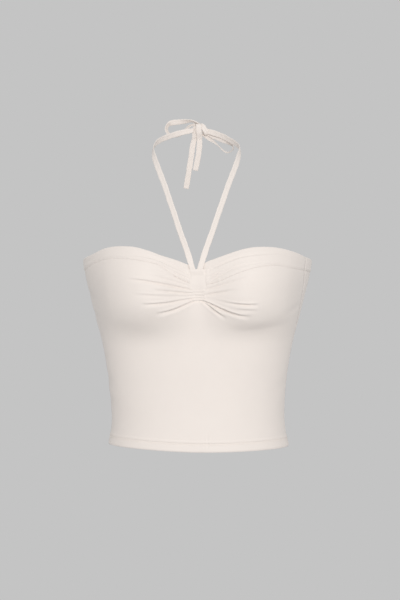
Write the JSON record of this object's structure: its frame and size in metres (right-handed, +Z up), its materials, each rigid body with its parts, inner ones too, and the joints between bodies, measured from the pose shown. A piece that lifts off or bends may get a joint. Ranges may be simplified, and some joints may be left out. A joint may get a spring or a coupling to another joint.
{
  "type": "halter neck top",
  "caption": "Sleeveless jersey halter top, gathered at the centre front, with narrow straps tied in a bow at the nape.",
  "frame": {"origin": "at the nape, on the inner face of the bow's knot, where the neck holds the straps up", "axes": "+Z up along the body, -Y to the front of the top, +X to the viewer's right"},
  "size_m": [0.2964, 0.2169, 0.4344],
  "materials": {
    "jersey": "smooth fine-gauge jersey in milk white, soft low sheen"
  },
  "bodies": {
    "root": {"front_panel": "jersey", "back_panel": "jersey", "front_band": "jersey", "back_band": "jersey", "centre_keeper": "jersey", "strap_left": "jersey", "strap_right": "jersey", "bow_knot": "jersey", "bow_loop_left": "jersey", "bow_loop_right": "jersey", "bow_tail_left": "jersey", "bow_tail_right": "jersey"}
  },
  "joints": []
}
